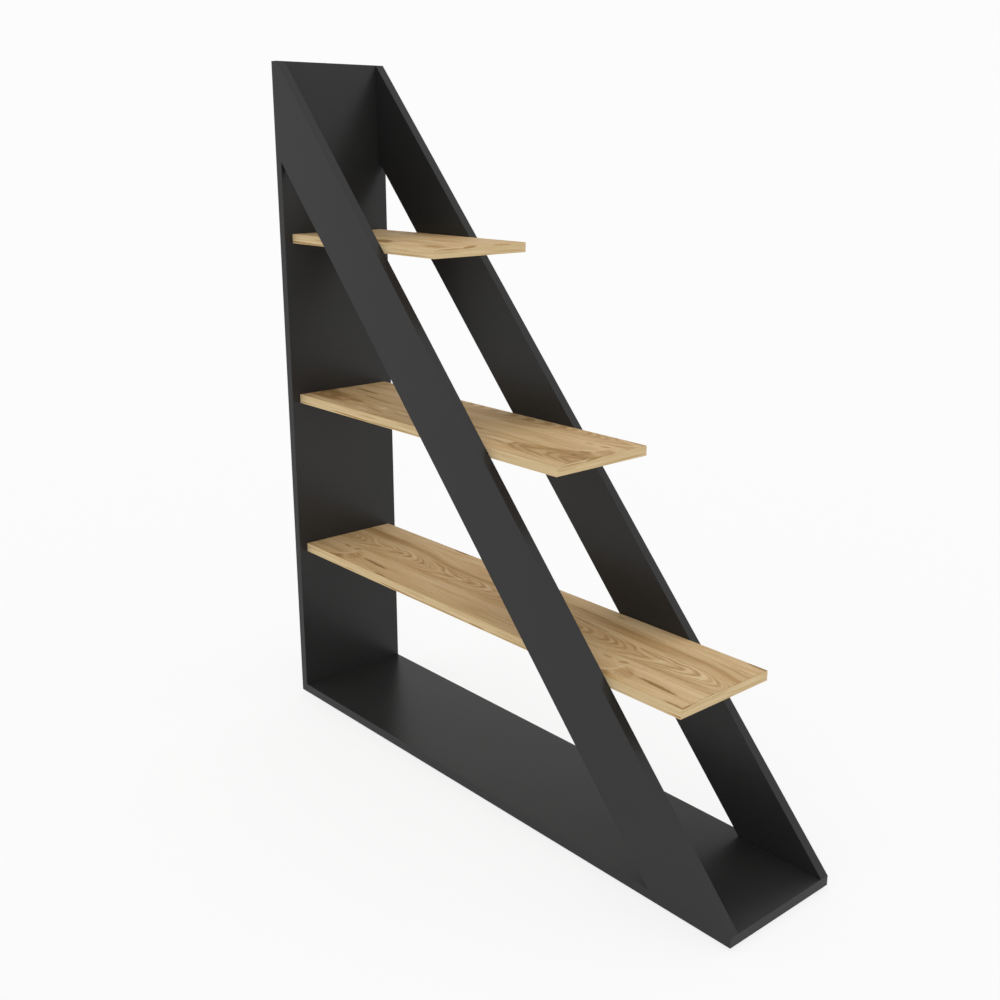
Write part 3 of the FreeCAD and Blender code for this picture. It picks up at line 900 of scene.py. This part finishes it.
# Of each metal: its colour, its roughness, and the size of its clouds and pits and their depth, in mm
fitting_finishes = {
    "_screws": make_metal("zinc_plated_screw", colour(192, 193, 190), 0.32, 4.0, 0.25, 0.004),
    "_cam_bolts": make_metal("zinc_plated_bolt", colour(202, 203, 200), 0.28, 5.0, 0.2, 0.003),
    "glide_nails": make_metal("plain_steel_nail", colour(170, 170, 167), 0.4, 3.0, 0.3, 0.005),
    "_cams": make_metal("cast_zinc_cam", colour(160, 161, 160), 0.5, 3.0, 0.35, 0.015),
    "_dowels": make_beech("beech_dowel_wood")}
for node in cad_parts:
    for ending, finish in fitting_finishes.items():
        if node.endswith(ending):
            dress(node, finish)
print(len(fitting_finishes), "finishes for fittings")

# %% [markdown]
# Moulded plastic. Caps and glides come from a mould whose walls were etched to a fine matt grain, and the
# glides are scuffed pale where they rub on the floor, so their material fades towards grey at the bottom.

# %% Plastic finishes
plastic_black = colour(38, 38, 39)
scuffed_grey = colour(96, 95, 92)
mould_grain_mm = 0.25
mould_depth_mm = 0.01
scratch_mm = 1.2


def make_plastic(name, scuff_height_mm):
    """Etched black plastic, scuffed below a height above the floor."""
    paint = Paint(name)
    place = paint.place()
    grain = paint.noise(place, scale=1 / (mould_grain_mm * mm), detail=2.0)
    scratches = paint.noise(place, scale=1 / (scratch_mm * mm), detail=4.0)
    height = paint.parts(place)[2] / mm
    scuff = paint.fade(height + scratches * 0.5, scuff_height_mm, 0.0) * 0.7 + grain * 0.04 + 0.04
    tint = paint.blend(scuff, opaque(plastic_black), opaque(scuffed_grey))
    return paint.finish(Base_Color=tint, Roughness=grain * 0.06 + scuff * 0.2 + 0.5, Specular_IOR_Level=0.4,
                        Normal=paint.bump(grain, mould_depth_mm * mm))


cap_plastic = make_plastic("etched_cap_plastic", scuff_height_mm=0.01)
glide_plastic = make_plastic("scuffed_glide_plastic", scuff_height_mm=0.9)
print("the mould's grain is", mould_grain_mm, "mm")

# %% [markdown]
# Caps and glides. One of each is turned like a piece on a lathe, from an outline of heights and radii,
# and Geometry Nodes then sets a copy at every place where the CAD model has one. The tree takes the
# piece, the way it faces, its size and a seed, and gives each copy its own turn about its axis, as
# fittings pressed in by hand have. It ends in real geometry, which is kept as a plain mesh.

# %% A lathe, and the places of the fittings
lathe_steps = 44


def turned(outline_mm):
    """A mesh of revolution about +Z. An outline that starts and ends on the axis is closed by two poles."""
    shape = bmesh.new()
    rings = []
    for height, radius in outline_mm:
        steps = lathe_steps if radius else 1
        turns = [2 * math.pi * step / steps for step in range(steps)]
        spots = [(radius * math.cos(turn), radius * math.sin(turn), height) for turn in turns]
        rings.append([shape.verts.new(Vector(spot) * mm) for spot in spots])
    closed = len(rings[0]) > 1
    pairs = list(zip(rings, rings[1:]))
    if closed:
        pairs.append((rings[-1], rings[0]))
    for ring, following in pairs:
        for step in range(lathe_steps):
            after = (step + 1) % lathe_steps
            corners = [ring[step % len(ring)], ring[after % len(ring)],
                       following[after % len(following)], following[step % len(following)]]
            shape.faces.new(list(dict.fromkeys(corners)))
    bmesh.ops.recalc_face_normals(shape, faces=shape.faces)
    mesh = bpy.data.meshes.new("turned_piece")
    shape.to_mesh(mesh)
    shape.free()
    for face in mesh.polygons:
        face.use_smooth = True
    return mesh


def islands(node):
    """The lowest and highest corner of each separate solid of a node."""
    shape = joined_copy(node)
    waiting = set(shape.verts)
    boxes = []
    while waiting:
        group = [waiting.pop()]
        for vert in group:
            for edge in vert.link_edges:
                other = edge.other_vert(vert)
                if other in waiting:
                    waiting.remove(other)
                    group.append(other)
        spots = [vert.co for vert in group]
        low = Vector([min(spot[axis] for spot in spots) for axis in range(3)])
        high = Vector([max(spot[axis] for spot in spots) for axis in range(3)])
        boxes.append((low, high))
    shape.free()
    return boxes


# Heights and radii in mm. The cap's height is 0 at the upright's face, and the glide's at the floor
cap_outline_mm = ((-3.8, 0), (-3.8, 1.4), (-3.5, 1.8), (-1.4, 1.8), (-1.2, 2.0), (-1.2, 5.8),
                  (-1.05, 5.95), (-0.4, 6.0), (-0.15, 5.9), (0.0, 5.6), (0.12, 4.6), (0.2, 3.2),
                  (0.24, 1.3), (0.2, 1.0), (0.2, 0))
glide_outline_mm = ((0.0, 3.1), (0.0, 6.5), (0.12, 7.1), (0.45, 7.6), (1.0, 7.9), (1.7, 8.0), (3.6, 8.0),
                    (3.9, 7.9), (4.0, 7.6), (4.0, 1.1), (2.15, 1.1), (2.15, 2.75), (0.25, 2.8))
cap_places = [Vector((low.x, (low.y + high.y) / 2, (low.z + high.z) / 2))
              for low, high in islands("upright_screw_caps")]
glide_places = [Vector(((low.x + high.x) / 2, (low.y + high.y) / 2, low.z))
                for low, high in islands("floor_glides")]
print(len(cap_places), "caps and", len(glide_places), "glides")

# %% The tree that sets the fittings
def make_fitting_tree():
    tree = bpy.data.node_groups.new("fittings_on_places", "GeometryNodeTree")
    kinds = {"places": "Geometry", "fitting": "Object", "facing": "Vector", "size": "Float", "seed": "Int",
             "finish": "Material"}
    for name, kind in kinds.items():
        tree.interface.new_socket(name, in_out="INPUT", socket_type="NodeSocket" + kind)
    tree.interface.new_socket("pieces", in_out="OUTPUT", socket_type="NodeSocketGeometry")
    start = tree.nodes.new("NodeGroupInput")
    finish = tree.nodes.new("NodeGroupOutput")
    info = tree.nodes.new("GeometryNodeObjectInfo")
    facing = tree.nodes.new("FunctionNodeEulerToRotation")
    chance = tree.nodes.new("FunctionNodeRandomValue")
    turn = tree.nodes.new("ShaderNodeCombineXYZ")
    own_turn = tree.nodes.new("FunctionNodeEulerToRotation")
    both = tree.nodes.new("FunctionNodeRotateRotation")
    setter = tree.nodes.new("GeometryNodeInstanceOnPoints")
    real = tree.nodes.new("GeometryNodeRealizeInstances")
    painter = tree.nodes.new("GeometryNodeSetMaterial")
    chance.data_type = "FLOAT"
    both.rotation_space = "LOCAL"
    chance.inputs[3].default_value = 2 * math.pi
    link = tree.links.new
    link(start.outputs["fitting"], info.inputs["Object"])
    link(start.outputs["facing"], facing.inputs["Euler"])
    link(start.outputs["seed"], chance.inputs["Seed"])
    link(chance.outputs[1], turn.inputs["Z"])
    link(turn.outputs["Vector"], own_turn.inputs["Euler"])
    link(facing.outputs["Rotation"], both.inputs["Rotation"])
    link(own_turn.outputs["Rotation"], both.inputs["Rotate By"])
    link(start.outputs["places"], setter.inputs["Points"])
    link(info.outputs["Geometry"], setter.inputs["Instance"])
    link(both.outputs["Rotation"], setter.inputs["Rotation"])
    link(start.outputs["size"], setter.inputs["Scale"])
    link(setter.outputs["Instances"], real.inputs["Geometry"])
    link(real.outputs["Geometry"], painter.inputs["Geometry"])
    link(start.outputs["finish"], painter.inputs["Material"])
    link(painter.outputs["Geometry"], finish.inputs["pieces"])
    return tree


fitting_tree = make_fitting_tree()


def set_fittings(name, mesh, places, facing, seed, material, slot_name, node):
    """Sets a copy of a mesh at every place, and makes one finished piece of them."""
    pattern = bpy.data.objects.new(name + "_pattern", mesh)
    spots = bpy.data.meshes.new(name + "_places")
    spots.from_pydata(places, [], [])
    holder = bpy.data.objects.new(name + "_holder", spots)
    bpy.context.scene.collection.objects.link(holder)
    modifier = holder.modifiers.new("fittings", "NODES")
    modifier.node_group = fitting_tree
    values = {"fitting": pattern, "facing": facing, "size": 1.0, "seed": seed, "finish": material}
    for socket in fitting_tree.interface.items_tree:
        if socket.in_out == "INPUT" and socket.name in values:
            modifier[socket.identifier] = values[socket.name]
    bpy.context.view_layer.update()
    evaluated = holder.evaluated_get(bpy.context.evaluated_depsgraph_get())
    result = bpy.data.meshes.new_from_object(evaluated)
    holder.modifiers.remove(modifier)
    bpy.data.objects.remove(holder)
    bpy.data.objects.remove(pattern)
    shape = bmesh.new()
    shape.from_mesh(result)
    return new_piece(name, shape, material, slot_name, node)


outwards = (0.0, -math.pi / 2, 0.0)      # from +Z to -X
upwards = (0.0, 0.0, 0.0)
cap_seed = 4
glide_seed = 7
caps = set_fittings("crowned_screw_caps", turned(cap_outline_mm), cap_places, outwards, cap_seed,
                    cap_plastic, "cap_plastic", "upright_screw_caps")
glides = set_fittings("rounded_floor_glides", turned(glide_outline_mm), glide_places, upwards, glide_seed,
                      glide_plastic, "glide_plastic", "floor_glides")
print("caps have", len(caps.data.polygons), "faces and glides", len(glides.data.polygons))
